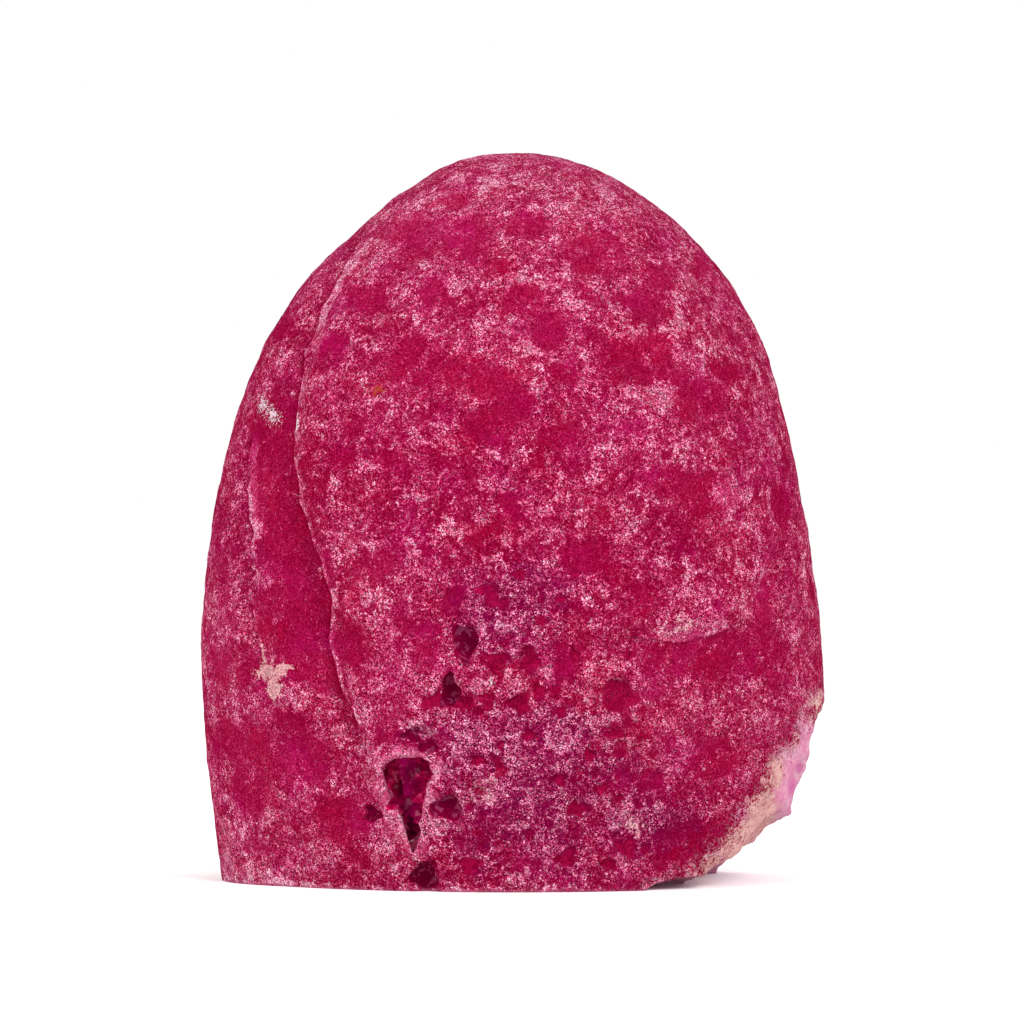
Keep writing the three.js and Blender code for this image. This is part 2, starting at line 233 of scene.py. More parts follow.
# The flake scars that the solid is made with, so that fresh stone can be told from the rind. Each has its
# deepest point, the way it faces, its radius and its front-to-back stretch.
SCARS = [
    ((48.3, 10.1, 24.2), (0.95, -0.05, -0.3), 13, 2),
    ((45.3, 4.1, 16.6), (0.93, -0.14, -0.34), 13, 1.8),
    ((44.8, 21.1, 15), (0.92, 0.18, -0.34), 15, 1.7),
    ((39.5, 2.1, 9.4), (0.7, -0.1, -0.7), 16, 1.8),
    ((39.4, 21.1, 8), (0.72, 0.14, -0.68), 20, 1.7),
    ((33.2, 3.1, 4.2), (0.44, 0, -0.9), 20, 2),
    ((26.2, -4.9, 1), (0.18, -0.15, -0.97), 25, 1.7),
    ((48.3, -1.4, 25.4), (0.86, -0.47, -0.2), 16, 1.6),
    ((44.8, -3.9, 18.6), (0.8, -0.56, -0.2), 15, 1.6),
    ((40, -6.9, 11.5), (0.7, -0.58, -0.41), 16, 1.6),
    ((34.8, -8.9, 6), (0.66, -0.48, -0.58), 18, 1.6),
]
SCAR_NEAR = 0.6  # mm
SCAR_FAR = 1.2
CORNER_FROM = 15  # mm to the right of the middle
CORNER_TOP = 36  # mm above the base

nearest = np.full(len(points), FAR)
for at, facing, radius, stretch in SCARS:
    outward = Vector(facing).normalized()
    along = (Vector((0, 1, 0)) - outward * outward.y).normalized()
    local = (points - at) @ np.array([along.cross(outward), along, outward]).T / radius
    local[:, 1] /= stretch
    local[:, 2] -= 1
    nearest = np.minimum(nearest, np.abs(np.linalg.norm(local, axis=1) - 1) * radius)
broken = 1 - smoothstep(nearest, SCAR_NEAR, SCAR_FAR)
broken *= (points[:, 0] > CORNER_FROM) & (points[:, 2] < CORNER_TOP) & ~on_face

# ---- The rind ----
# The nodule's weathered skin: granular, with round smooth dents and pale webs between them, two ledges down
# the left flank with a smooth trough between them, a brow on the right, and small hollows low in the middle.

# Dents: x, z, half-width and half-height in mm.
DENTS = [
    (-16, 105, 3.2, 2.9), (-9.4, 111.4, 1.6, 1.3), (-7.7, 104.7, 3.2, 2.6), (-22.4, 94.9, 2.6, 2.1),
    (-12.1, 96, 1.8, 1.4), (-15.4, 84.9, 3.5, 3.2), (-9.2, 82.4, 1.9, 1.6), (-3, 81.1, 2.6, 1.9),
    (-3.6, 74.3, 3.2, 2.4), (-28.9, 87.3, 1.9, 1.6), (-36.7, 90.7, 1.4, 1.3), (-39.8, 73.3, 1.9, 1.6),
    (-1.7, 99.2, 1.4, 1.3), (12.9, 103.2, 3.5, 2.4), (13.2, 100.6, 2.6, 1.9), (23.4, 98.2, 2.1, 1.6),
    (20.5, 93.8, 2.7, 1.9), (22.2, 86.5, 2.7, 2.2), (22.2, 84, 2.9, 1.9), (15.9, 86.1, 2.1, 1.8),
    (5.9, 89.8, 2.7, 2.2), (1.5, 94.4, 2.1, 1.8), (2.4, 106.5, 2.2, 1.6), (7.3, 83.2, 1.4, 1.4),
    (26, 82.4, 1.4, 1.3), (35, 82.6, 1.8, 1.4), (29.9, 78.9, 2.9, 2.2), (7.3, 72.6, 2.7, 1.9),
    (0, 78.4, 2.6, 2.2), (30.8, 100.5, 1.4, 1.3), (11, 95.8, 1.4, 1.1), (-31.8, 51, 1.9, 2.9),
    (-39.7, 44.9, 2.4, 3.2), (-35.7, 40.2, 2.6, 3.5), (-26.1, 39.4, 1.9, 2.6), (-21.1, 53.1, 1.4, 1.6),
    (-36.4, 27, 2.2, 1.6), (-44.1, 23.4, 3.8, 2.9), (-20.4, 68.9, 1.4, 1.1), (-27, 69.3, 1.8, 1.3),
    (-0.8, 60.9, 1.9, 1.6), (-47.7, 36, 1.4, 1.9), (-43, 35.3, 1.6, 1.9), (30.7, 63.4, 3.5, 2.6),
    (26.6, 65.6, 3.2, 1.6), (43.4, 62, 1.3, 2.9), (40.5, 46.5, 1.6, 3.2), (28, 7.7, 4.8, 2.6),
    (-34.2, 20.9, 4.2, 3.2), (-42.7, 15.6, 2.6, 3.2), (-27.7, 11.3, 3.5, 2.6), (20.3, 18, 2.6, 1.9),
    (9, 37.3, 2.2, 2.2), (32.4, 20.9, 2.6, 2.6), (12.2, 53.1, 3.2, 1.9), (20.1, 46.8, 2.2, 1.6),
    (-9.1, 46.8, 1.6, 1.6), (-13.1, 40.4, 1.9, 2.2),
]
# Smooth stretches under the brow.
FLAKED = [(30, 38, 5, 1.9), (37, 37.6, 4.6, 2.1), (24.5, 37, 3, 1.6)]
# Small hollows low in the middle: x, z, half-width, half-height and depth in mm.
HOLLOWS = [
    (-7.6, 40.1, 1.8, 2.9, 0.8), (-10, 32.3, 1.3, 2.6, 0.7), (-12.3, 31.1, 1, 1, 0.6),
    (-7.9, 30.4, 1, 1, 0.4), (-2.4, 36, 1.3, 1.1, 0.5), (-7.5, 30.4, 1.2, 1, 0.5), (-16, 25.2, 1.4, 1, 0.7),
    (-13.4, 23.5, 1.6, 0.9, 0.7), (16.9, 31.3, 2.9, 2.7, 0.3), (-22.6, 12.4, 1.1, 1.2, 0.7),
    (-10.6, 13.4, 2.4, 1.7, 0.7), (-14.2, 2.6, 2, 2.2, 0.7), (-2.3, 37.2, 1.5, 1.3, 0.5),
    (2.6, 37.6, 1.3, 1.6, 0.5), (9.8, 38.1, 0.8, 0.8, 0.5), (4.3, 32.6, 1, 0.8, 0.5),
    (7.5, 29, 1.1, 0.8, 0.5), (1.2, 30.4, 1.5, 1.6, 0.5), (2.7, 25.4, 1.1, 0.8, 0.6),
    (6.7, 32.5, 0.8, 0.8, 0.4), (-5.5, 21.4, 1.1, 0.8, 0.6), (-4.1, 30.7, 1, 1.4, 0.5), (-2, 19.8, 1, 1, 0.6),
    (7.5, 18.1, 1.1, 1, 0.6), (12.2, 22.1, 0.8, 0.8, 0.5), (16.2, 25.5, 1.6, 0.7, 0.4),
    (18.3, 7.1, 1.5, 1.3, 0.4), (9.9, 13.3, 1.1, 1, 0.6), (-6.7, 4.3, 1.5, 1.3, 0.4),
    (-13.7, 30.4, 1, 0.9, 0.5), (13.9, 16.5, 1, 0.8, 0.5), (8.3, 5.2, 1.3, 1, 0.6),
    (15.5, 4.3, 1.1, 0.8, 0.5), (39.4, 14.3, 1, 0.6, 0.4), (18.6, 38, 0.8, 0.6, 0.4),
    (-5.2, 48.4, 0.8, 0.8, 0.4), (1.1, 50.8, 1, 0.8, 0.4), (4.3, 43.6, 1, 0.8, 0.5),
    (7.4, 46.8, 0.8, 0.6, 0.4), (-2.8, 55.5, 0.8, 0.6, 0.4), (9.8, 50.7, 0.8, 0.6, 0.3),
]

# Where the skin is full of little pits with pale webs between them.
PITTED = [(2, 24, 11, 12), (9, 12, 12, 8), (-2, 42, 7, 7), (16, 20, 7, 9)]
PIT_SPACING = 2.6
PIT_DEPTH = 0.45
DENT_DEPTH = 0.34
TROUGH_DEPTH = 0.3
TROUGH_WIDTH = 6.5
TROUGH_SPAN = (36, 76)  # mm, its foot and its top
LEDGE_STEP = 0.8
BROW_STEP = 0.5
CREST = 0.12
DENT_SPACING = 7.5
LUMP_HEIGHT = 0.16
LUMP_SIZE = 6
GRAIN_HEIGHT = 0.09
GRAIN_SIZE = 1.9
WEB_HEIGHT = 0.1
PIT_WEB_HEIGHT = 0.12
DEEP_FROM = 0.65  # mm deep, where a hollow's floor is dark stone

left_ledge = beside_line(wavy, LEFT_LEDGE)
outer_ledge = beside_line(wavy, OUTER_LEDGE)
brow = beside_line(wavy, BROW)
vein = beside_line(wavy, UPPER_VEIN)
mouth = beside_line(points + 0.12 * warp_small, VUG_MOUTH, closed=True)
trough = smoothstep(-left_ledge, 0, 0.5) * (1 - smoothstep(-left_ledge, TROUGH_WIDTH, TROUGH_WIDTH + 2.5))
trough *= ease_between(warped, *TROUGH_SPAN, 5) * front

cells = []
for place in points / DENT_SPACING:
    distances, centres = noise.voronoi(Vector(place + 0.25 * np.sin(place * 2.3)))
    cells.append((distances[0], distances[1], noise.cell(centres[0] * 7.7)))
near_cell, next_cell, cell_chance = np.array(cells).T
web = 1 - smoothstep(next_cell - near_cell, 0.03, 0.34)
cell_size = 0.1 + 0.25 * cell_chance
any_dent = (1 - smoothstep(near_cell, cell_size, cell_size + 0.12)) * (cell_chance > 0.6) * (1 - front)
dent = np.maximum(spots(warped, DENTS) * front, any_dent)
flaked = spots(warped, FLAKED, 1.4) * front
smooth_skin = np.clip(dent + flaked + trough, 0, 1)
hollow = np.zeros(len(points))
deep_hollow = np.zeros(len(points))
for x, z, half_width, half_height, depth in HOLLOWS:
    across, up = (wavy[:, 0] - x) / half_width, (wavy[:, 2] - z) / half_height
    around = np.arctan2(up, across)
    ragged = 0.22 * np.sin(3 * around + 7 * x) + 0.14 * np.sin(5 * around + 5 * z)
    ragged = 1 + ragged * min(1, 1.4 / half_width)
    inside = (1 - smoothstep(np.hypot(across, up) * ragged, 0.75, 1.2)) * front
    hollow = np.maximum(hollow, depth * inside)
    deep_hollow = np.maximum(deep_hollow, (depth > DEEP_FROM) * inside)

pit_cells = []
for place in (points + 0.5 * warp_small) / PIT_SPACING:
    distances, centres = noise.voronoi(Vector(place))
    pit_cells.append((distances[0], distances[1], noise.cell(centres[0] * 5.3)))
near_pit, next_pit, pit_chance = np.array(pit_cells).T
pitted_zone = np.clip(1.3 * spots(warped, PITTED, 1.3) * front, 0, 1)
pit_size = 0.12 + 0.36 * ((pit_chance * 7.3) % 1) ** 1.5
pit = (1 - smoothstep(near_pit, pit_size, pit_size + 0.16)) * (pit_chance > 0.35) * pitted_zone
pit_web = (1 - smoothstep(next_pit - near_pit, 0.04, 0.26)) * pitted_zone


def drop(distance, reach):
    """A sharp step down where the distance is above 0, which heals over reach mm."""
    return smoothstep(distance, -0.2, 0.25) * (1 - smoothstep(distance, 0.4, reach))


def crest(distance, width):
    return np.exp(-((distance / width) ** 2))


lumps = np.array([noise.fractal(Vector(p), 0.9, 2.0, 2) for p in points / LUMP_SIZE])
granular = np.array([noise.fractal(Vector(p), 0.7, 2.0, 3) for p in points / GRAIN_SIZE + 3])
relief = (
    LUMP_HEIGHT * lumps
    + GRAIN_HEIGHT * granular * (1 - 0.7 * smooth_skin)
    + WEB_HEIGHT * web * (1 - smooth_skin)
    - DENT_DEPTH * dent
    - TROUGH_DEPTH * (trough + flaked)
    - np.maximum(hollow, PIT_DEPTH * pit)
    + PIT_WEB_HEIGHT * pit_web
    + front * CREST * (crest(left_ledge - 0.4, 0.5) + crest(outer_ledge - 0.4, 0.5) + crest(vein, 0.5))
    - front * LEDGE_STEP * drop(-left_ledge, 4)
    - front * LEDGE_STEP * 0.9 * drop(-outer_ledge, 3)
    - front * BROW_STEP * drop(-brow, 3.5)
)

# ---- The vug ----
# An open hollow that the chalcedony never filled, with a pale lip. Its walls are small dark quartz faces,
# with a ridge of clearer stone down the middle.

VUG_RIDGE = [(-17.2, 21.5), (-16.8, 17.5), (-16.4, 12)]
FACET_SIZE = 1.5
FACET_TILT = 0.9
RIDGE_HEIGHT = 0.7
LIP_HEIGHT = 0.1

in_vug = smoothstep(-mouth, 0, 0.35) * (points[:, 1] < 0)
lip = crest(mouth - 0.45, 0.55) * front
ridge = crest(beside_line(wavy, VUG_RIDGE), 1) * in_vug
facets = []
for place in points * [1, 0.7, 0.6] / FACET_SIZE:
    centre = noise.voronoi(Vector(place))[1][0]
    tilt = [noise.cell(centre * 3.1 + Vector((k, k, k))) - 0.5 for k in (0.3, 5.3, 9.3)]
    facets.append(sum(t * (p - c) for t, p, c in zip(tilt, place, centre)) + 0.45 * tilt[0])
vug_move = np.array(facets) * FACET_TILT * FACET_SIZE + RIDGE_HEIGHT * ridge

# ---- Worn edges, and the carving itself ----
# The base's edge has been knocked and worn, and the polished face's less so. All the moves above are now
# made along the surface's own direction, and fade out at the saw cuts, which stay flat.

RIPPLE_SIZE = 2.6
RIPPLE_HEIGHT = 0.32
WEAR_WIDTH = 0.9
FACE_WEAR_WIDTH = 0.7
PALE_WEAR_WIDTH = 1.3
BASE_MARGIN = 1.2  # mm from a saw cut, where the moves begin to fade

ripple = np.array([noise.fractal(Vector(p), 0.8, 2.0, 3) for p in points * [1, 0.5, 1] / RIPPLE_SIZE + 11])
edge_wear = crest(points[:, 2], WEAR_WIDTH) * ~on_base
face_wear = crest(past_face(points), FACE_WEAR_WIDTH) * ~on_face
move = np.where(broken > 0.5, RIPPLE_HEIGHT * ripple, relief + LIP_HEIGHT * lip)
move = move * (1 - in_vug) + vug_move * in_vug
move -= edge_wear * (0.1 + 0.3 * np.clip(ripple, 0, 1))
near_cut = smoothstep(np.minimum(points[:, 2], -past_face(points)), 0, BASE_MARGIN)
moved = points + normals * (move * (0.35 + 0.65 * near_cut))[:, None]
moved[:, 2] = np.maximum(moved[:, 2], 0)
write_mm(np.where(sawn[:, None], points, flatten_cuts(moved)))

# Places in the colour that no shape shows.
# Pale patches: x, z, half-width, half-height in mm, and how pale.
PALE = [
    (-10.1, 115.1, 1.4, 0.8, 0.7), (-4.4, 114.1, 2.1, 1.3, 1), (-15.4, 111, 1.8, 0.6, 0.8),
    (-11.9, 113, 1.6, 0.8, 0.6), (-19.2, 103.4, 0.6, 0.6, 0.9), (-12.2, 103.8, 1.3, 0.8, 0.7),
    (-10, 106.6, 0.6, 0.5, 0.9), (-16.2, 99.8, 4.2, 1.1, 0.6), (-8, 96.6, 2.2, 1.3, 0.9),
    (-1.1, 102.3, 1.3, 1.4, 0.8), (-3, 110.9, 2.4, 0.8, 0.6), (-19.7, 94.5, 0.8, 1.6, 0.9),
    (-20.9, 91.4, 1.4, 1.1, 0.9), (-25.6, 86.9, 1.6, 1.3, 1), (-22.4, 88.8, 1.9, 1.1, 0.7),
    (-17, 91, 1.4, 1, 0.7), (-36.5, 86.4, 1.9, 0.8, 0.6), (-34.3, 91.6, 1.4, 1.9, 0.5),
    (-3, 90.5, 2.4, 1.4, 0.8), (0.2, 89.9, 2.9, 1.9, 1), (-10.8, 89, 1.3, 1, 0.6),
    (-14.1, 76.7, 1.1, 0.8, 0.7), (-18.6, 81.8, 0.8, 0.6, 0.6), (-23.2, 80, 0.6, 0.8, 1),
    (-20.5, 78.8, 1, 0.6, 0.9), (15.2, 112.4, 1.3, 2.4, 1), (12, 112, 1.6, 0.8, 0.7),
    (8.1, 110.3, 1, 0.6, 0.7), (4.5, 104.7, 1.9, 0.8, 0.8), (0.3, 97.9, 2.2, 1.4, 1),
    (2.7, 99.4, 1.6, 1, 0.8), (7.7, 95.8, 1, 0.8, 0.8), (3, 93.5, 0.8, 0.5, 0.8), (17, 96.2, 1.9, 0.8, 0.9),
    (16, 93.4, 2.2, 1.3, 0.9), (18, 91.3, 1.6, 1.3, 0.9), (22.1, 100.7, 1.6, 0.6, 0.8),
    (26.5, 91.2, 1.3, 1.9, 1), (20.8, 89.7, 2.6, 1.1, 0.9), (31.7, 87.7, 2.4, 1, 0.8),
    (14.5, 89.2, 1, 0.8, 0.8), (1.8, 86.7, 1.3, 1.4, 0.9), (4.1, 79.1, 1.1, 2.6, 0.9),
    (22.1, 79, 4.5, 1.9, 1.2), (25.1, 94.8, 1.3, 1, 0.6), (39.5, 84.6, 1.3, 2.6, 0.8),
    (36.8, 80.5, 1.1, 1.3, 0.7), (28.4, 69.9, 3.2, 1.1, 0.7), (35.8, 67.1, 2.2, 1.4, 1),
    (32.6, 67.9, 1.6, 0.8, 0.8), (0, 69.9, 2.6, 1.4, 0.8), (-1.4, 116.1, 1.6, 0.8, 0.8),
    (-41.7, 57.5, 1.1, 1.6, 1), (-46.1, 51.5, 0.6, 1.3, 0.8), (-41.5, 49.3, 2.4, 1.4, 0.9),
    (-42.6, 47.9, 1, 1.9, 0.8), (-42.1, 42.6, 0.6, 2.2, 0.7), (-40.3, 38.5, 0.6, 1.4, 0.9),
    (-35.7, 36.7, 1, 0.8, 0.7), (-37.7, 30.3, 1.4, 1.4, 1.1), (-35.4, 30.7, 0.6, 0.6, 0.8),
    (-44.6, 27, 1, 1.8, 0.8), (-37.1, 24.7, 0.5, 1.6, 0.6), (-22.8, 69.3, 2.2, 1.4, 0.9),
    (-13.6, 61.5, 2.4, 1.3, 0.9), (-17.2, 63.4, 1.6, 1, 0.7), (-16.1, 54.4, 1, 2.1, 1),
    (-22.2, 53.7, 1.3, 1.3, 0.6), (-24.4, 61.5, 1, 0.8, 0.7), (-27, 48.8, 1.6, 1.4, 0.7),
    (-22.2, 46.6, 3.2, 1.4, 0.8), (-19.1, 49.5, 1.3, 1.6, 0.7), (-4.9, 60.2, 2.2, 1.4, 0.9),
    (-1.1, 64.3, 1.3, 0.6, 1), (-9.8, 58.2, 1.4, 1.6, 0.9), (-1.4, 56.9, 0.8, 0.8, 0.9),
    (-2.7, 52.8, 1.6, 1.1, 0.8), (-4.9, 43, 1.4, 1.4, 0.9), (-10.4, 41.7, 1, 0.6, 0.7),
    (-1.1, 42.1, 1.6, 1.1, 0.9), (-9.5, 37, 1.9, 0.6, 0.9), (-6, 33, 2.9, 1, 1.3), (-6, 31.1, 1.4, 0.8, 0.9),
    (-0.5, 33.7, 1.6, 1.4, 1), (-17.3, 27.7, 1.1, 1.6, 1), (-11.1, 29.2, 1.4, 1, 0.9),
    (-11.7, 25.5, 1.6, 2.2, 1), (-27.5, 25.5, 1.9, 1.3, 0.7), (-3.6, 28.9, 1, 0.6, 1),
    (35.3, 63.7, 2.1, 2.7, 1.4), (37.4, 44.7, 1.6, 2.2, 0.9), (32.9, 42.5, 2.2, 0.8, 0.9),
    (27.4, 42, 3, 1.4, 1.6), (24, 41.2, 1.3, 0.6, 0.9), (12.2, 32, 0.9, 1.8, 1.5),
    (15.4, 27.8, 2.3, 1.1, 1.5), (5.4, 35.7, 1.8, 1.3, 0.8), (2.1, 42.1, 1.9, 1.4, 0.9),
    (18.1, 23.7, 2.4, 1.6, 0.9), (19.9, 24.3, 1.6, 1, 0.8), (10.5, 19.3, 0.5, 1.6, 0.9),
    (6.8, 24.1, 2.4, 1.6, 0.7), (26.7, 19.5, 2.1, 1.4, 0.9), (-44.4, 1.1, 3.5, 1.1, 1.3),
    (-45, 5.5, 1.1, 3.2, 0.8), (-19.7, 4.1, 1.4, 1.4, 1), (-4.9, 16.7, 2.4, 1.9, 1.3),
    (-1.7, 7.5, 2.2, 1.3, 1), (-12.7, 11.3, 1.9, 1, 1.1), (-39.8, 12, 1.1, 0.8, 0.9), (-40.5, 9.1, 1, 1, 0.8),
    (-34.2, 16.8, 1.6, 1, 0.7), (-27.2, 16, 1, 1.6, 0.7), (-25.3, 9.1, 0.6, 0.6, 1.2),
    (18.5, 12.8, 3.5, 2.7, 1.1), (2.4, 16.4, 1.6, 0.5, 1), (0.2, 13.8, 0.8, 1, 0.8), (1.3, 10.4, 0.8, 1.6, 1),
    (15.2, 8.4, 1.6, 1, 0.8), (34.8, 31.4, 1.3, 0.6, 0.8), (26.4, 0.9, 2.9, 0.8, 0.7),
    (0.3, 3.3, 4.8, 1.6, 0.7), (13.9, 2.7, 3.5, 1.3, 0.6), (47.7, 52.9, 1, 3.2, 0.5),
    (39.7, 49.8, 1.6, 2.6, 0.8), (36.4, 51.4, 2.6, 1.9, 0.6), (13.8, 67.3, 2.9, 1.6, 0.6),
    (7.4, 62.6, 2.6, 1.4, 0.6), (20.1, 61.8, 2.6, 1.4, 0.6), (26.6, 53.1, 2.9, 1.6, 0.5),
    (12.2, 46.8, 2.2, 1.6, 0.5), (-29.1, 65.8, 1.4, 1.4, 0.5), (-32.7, 2.9, 3.2, 1, 0.4),
    (-11.8, 20.5, 1.1, 1.9, 1.2), (-13.1, 14.3, 0.9, 1.6, 1.1), (-13.6, 10, 1.2, 1.5, 1.1),
    (-18, 10.4, 1, 2, 1.2), (-19.4, 6.6, 1.8, 1.4, 1.1), (-16.8, 22.8, 2.4, 0.9, 1.1), (-21.8, 17, 1, 2.2, 1),
    (-22.2, 21, 1.6, 1, 0.9), (-20.4, 11.8, 1.4, 0.8, 0.9), (-12.6, 5.8, 2.2, 1.4, 0.8),
    (-42.5, 0.8, 5, 0.9, 1.1), (-33, 0.6, 3, 0.6, 0.7), (-20.8, 0.9, 1.6, 1, 0.9), (-8, 0.8, 2, 0.8, 0.9),
    (-46.9, 5, 1.1, 4.4, 1.8), (-43, 1, 3.4, 0.9, 1.5), (-13, 25.8, 2.4, 1.1, 1), (-8.6, 22, 1.2, 1.8, 0.9),
    (-22.8, 23.2, 1.6, 1.2, 1), (-12, 10.6, 2.4, 0.7, 1.2), (-19.8, 9, 1.4, 2.4, 1.3),
    (-21.4, 4.4, 1.6, 1.4, 1.1),
]
PURPLE = [
    (-1.1, 44.7, 4.8, 4.2), (2.7, 46.8, 3.8, 3.2), (1.9, 16.6, 9.6, 8), (-5.2, 23.8, 4.8, 3.2),
    (-14.7, 25.5, 2.6, 1.6), (5.1, 24.6, 6.4, 3.8), (20.3, 11.5, 4.8, 3.2),
]
CREAM = [
    (-39.4, 34.9, 1.7, 1, 1.3), (-38.4, 32.4, 1.1, 1.5, 1.3), (-40.6, 37.8, 0.5, 1.3, 1.3),
    (-37, 35.8, 1.1, 0.5, 1.2), (-4.9, 16.7, 1.8, 1.5, 0.55), (26.8, 42.6, 2.2, 1.1, 0.62),
    (19.5, 11.2, 2, 1.6, 0.5),
]
# Painted light: the rind is made paler low on both flanks.
PAINTED_LIGHT = [(-43, 18, 8, 20), (38, 24, 8, 14)]
# Darker places; the one in the middle is painted shade.
DARKER = [(26, 10, 13, 9), (-9, 62, 12, 11), (22, 53, 8, 9, 0.8)]
# Painted highlights: small near-white glints on the rind.
PAINTED_GLINTS = [(-40.6, 78, 1.2, 1.8), (-39, 76.4, 1.3, 1.5), (-34.7, 74.8, 0.5, 1.6), (-3.6, 33.7, 0.6, 0.6)]
RUST = [(-21.5, 80.1, 1.1, 0.6)]
CHIP_MAGENTA = [(45.8, 15.4, 0.8, 1.4), (47.4, 18.4, 0.6, 0.8), (43.2, 11.4, 0.8, 0.5)]
WORN_CHIP = [(50.5, 28.6, 2.2, 3), (31, 1.5, 3, 1.4)]
VUG_TIP = [(-16.2, 7.4, 1.9, 3.6)]
CHIP_CREAM = [
    (40.5, 12, 2.2, 5, 1.2), (37, 7, 3, 3.4, 1.2), (42.4, 18, 1.6, 3, 1), (33, 3, 4, 2, 1),
    (50, 28.5, 2, 3, 0.8), (46, 24, 1.4, 2, 0.6),
]


def mark(name, values):
    """Stores one number for each vertex, for the material to read."""
    layer = stone.data.attributes.new(name, "FLOAT", "POINT")
    layer.data.foreach_set("value", np.asarray(values, float))


crest_gap = np.where(np.abs(left_ledge) < np.abs(outer_ledge), left_ledge, outer_ledge)
crest_pale = np.where(
    np.abs(left_ledge) < np.abs(outer_ledge),
    ease_between(points, 27, 103, 2),
    ease_between(points, 36, 73, 1) * (0.35 + 0.65 * smoothstep(points[:, 2], 52, 55)),
)
other_gap = np.minimum(np.abs(vein), np.abs(brow - 0.4) * 1.2)
NOT_HERE = 9  # mm, past the reach of any line


def depth_from(skin, inner):
    """How far each inner point is from the nearest point of the skin, in mm."""
    tree = kdtree.KDTree(int(skin.sum()))
    for place in points[skin]:
        tree.insert(Vector(place), 0)
    tree.balance()
    return np.array([tree.find(Vector(p))[2] if deep else 0 for p, deep in zip(points, inner)])


rind_skin = ~sawn & (broken < 0.5)

mark("pale", spots(wavy, PALE) * front)
mark("web", web)
mark("smooth", smooth_skin)
mark("hollow", np.clip(hollow * 3, 0, 1))
mark("deep_hollow", deep_hollow)
mark("pit", pit)
mark("pit_web", pit_web)
mark("purple", spots(warped, PURPLE, 2) * front)
mark("cream", spots(wavy, CREAM) * front)
mark("glint", spots(wavy, PAINTED_GLINTS) * front)
mark("rust", spots(wavy, RUST) * front)
mark("crest_gap", crest_gap * front + NOT_HERE * (1 - front))
mark("crest_pale", crest_pale)
outer_wide = ease_between(points, 56, 71, 2) * (np.abs(outer_ledge) < 2)
mark("crest_wide", np.maximum(1.2 * smoothstep(points[:, 2], 78, 94), 0.6 * outer_wide))
mark("other_gap", other_gap * front + NOT_HERE * (1 - front))
mark("mouth_gap", np.where(points[:, 1] < 0, mouth, NOT_HERE))
mark("ridge", ridge)
mark("vug_tip", spots(points, VUG_TIP))
mark("chip_magenta", spots(wavy, CHIP_MAGENTA, 1.5) * front)
mark("chip_cream", spots(wavy, CHIP_CREAM) * front)
mark("edge_wear", crest(points[:, 2], PALE_WEAR_WIDTH))
mark("face_wear", face_wear)
mark("face", on_face)
mark("base", on_base)
mark("depth_in", depth_from(~sawn, sawn))
near_chip = rind_skin & (points[:, 0] > 10) & (points[:, 2] < 45)
chip_depth = depth_from(rind_skin, broken >= 0.5) - depth_from(broken >= 0.5, near_chip)
mark("chip_depth", chip_depth + 6 * spots(points, WORN_CHIP) * near_chip)
mark("rind_far", rind_skin & ~near_chip)
# Painted light and shade: the rind is paler towards its top, which faces the lamps, and at the paler places,
# and darker at the darker places.
painted_lighter = smoothstep(points[:, 2], 90, 112) + 0.5 * spots(points, PAINTED_LIGHT) * front
mark("place_pale", painted_lighter - 0.8 * spots(points, DARKER) * front)

# The carved mesh is thinned where it is smooth, so that its faces go to the edges and the pits.
FACES_KEPT = 196000
finish = stone.modifiers.new("fewer faces", "DECIMATE")
finish.vertex_group = group("carved", ~sawn * 1.0)
finish.ratio = FACES_KEPT / sum(len(face.vertices) - 2 for face in stone.data.polygons)
finish.use_collapse_triangulate = True
bpy.ops.object.modifier_apply(modifier=finish.name)

# Corners that the thinning has left in one place are merged, so no face is without area.
edit = bmesh.new()
edit.from_mesh(stone.data)
bmesh.ops.remove_doubles(edit, verts=edit.verts, dist=0.001 * MM)
edit.to_mesh(stone.data)
edit.free()

# ---- The stone's colour and finish ----
# Agate dyed rose. The dye lies deep where the skin is dense and smooth, and pale, chalky grains show where
# it is porous, so one tone from dark to pale drives a ramp of dye colours.


class Tone:
    """A value in the stone's material. Sums on tones add Math nodes, and node() adds any other."""

    tree = None

    def __init__(self, socket):
        self.socket = socket

    @classmethod
    def node(cls, kind, settings=None, values=None, out=0):
        made = cls.tree.nodes.new(kind)
        for name, value in (settings or {}).items():
            if name == "stops":
                stops = made.color_ramp.elements
                for position, _ in value[2:]:
                    stops.new(position)
                for element, (position, colour) in zip(stops, sorted(value)):
                    element.position = position
                    element.color = colour
            else:
                setattr(made, name, value)
        for name, value in (values or {}).items():
            if isinstance(value, Tone):
                cls.tree.links.new(value.socket, made.inputs[name])
            else:
                made.inputs[name].default_value = value
        return cls(made.outputs[out]) if made.outputs else made

    def sum(self, operation, *others):
        return self.node("ShaderNodeMath", {"operation": operation}, dict(enumerate((self, *others))))

    def __add__(self, other):
        return self.sum("ADD", other)

    def __sub__(self, other):
        return self.sum("SUBTRACT", other)

    def __rsub__(self, other):
        return self.sum("MULTIPLY", -1) + other

    def __mul__(self, other):
        return self.sum("MULTIPLY", other)

    __radd__ = __add__
    __rmul__ = __mul__

    def step(self, low, high):
        """0 at low and 1 at high, eased between them."""
        return self.node(
            "ShaderNodeMapRange",
            {"interpolation_type": "SMOOTHSTEP"},
            {"Value": self, "From Min": low, "From Max": high},
        )

    def at_most(self, other):
        return self.sum("MINIMUM", other)

    def at_least(self, other):
        return self.sum("MAXIMUM", other)


def marked(name):
    return Tone.node("ShaderNodeAttribute", {"attribute_name": name}, out="Fac")


def mixed(share, first, second):
    return Tone.node("ShaderNodeMix", {"data_type": "RGBA"}, {0: share, 6: first, 7: second}, out=2)


LIGHT = 0.62  # the share of a seen colour that the stone itself has, as the lights add the rest


